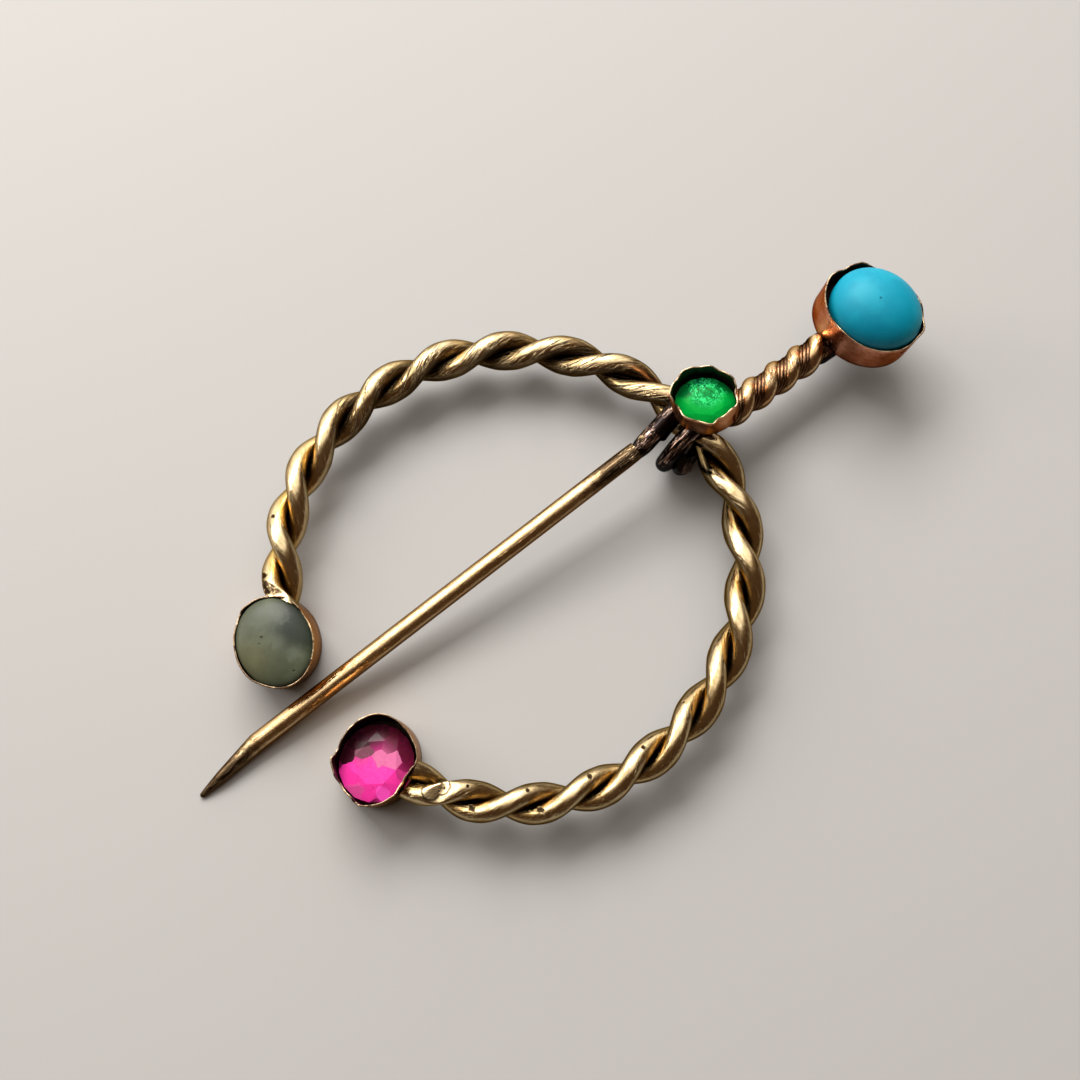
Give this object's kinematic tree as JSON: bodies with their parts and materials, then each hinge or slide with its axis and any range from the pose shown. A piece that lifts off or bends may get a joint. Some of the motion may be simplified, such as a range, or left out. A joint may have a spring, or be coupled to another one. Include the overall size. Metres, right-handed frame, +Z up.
{
  "type": "penannular brooch",
  "caption": "Open ring of twisted gold wires with a stone setting on each end, and a long needle that rides the ring on a coil and ends in a twisted stem with a large domed stone.",
  "frame": {"origin": "under the middle of the brooch's box, on the surface that it lies on", "axes": "+X from the needle's point towards the head with the largest stone, +Z up out of the surface, +Y across the hoop towards the grey-green stone"},
  "size_m": [0.0648, 0.0376, 0.009],
  "materials": {
    "hoop_gold": "polished old gold with dark tarnish in the twist's grooves and fine scratches",
    "pin_gold": "worn gold, rosy on the settings and nearly black on the coil",
    "grey_green_stone": "polished, cloudy grey-green with small pits",
    "pink_paste": "cut and polished, with worn facet edges",
    "green_paste": "cut, crackled over its upper half",
    "turquoise_stone": "satin polish, smooth blue-green"
  },
  "bodies": {
    "hoop": {"hoop": "hoop_gold", "grey_green_cabochon": "grey_green_stone", "pink_stone": "pink_paste"},
    "pin": {"pin": "pin_gold", "green_stone": "green_paste", "turquoise_cabochon": "turquoise_stone"}
  },
  "joints": [
    {"name": "pin_swing", "type": "hinge", "parent": "hoop", "child": "pin", "pos_m": [0.01346, 0, 0.00302], "axis": [0, 1, 0], "continuous": true}
  ]
}
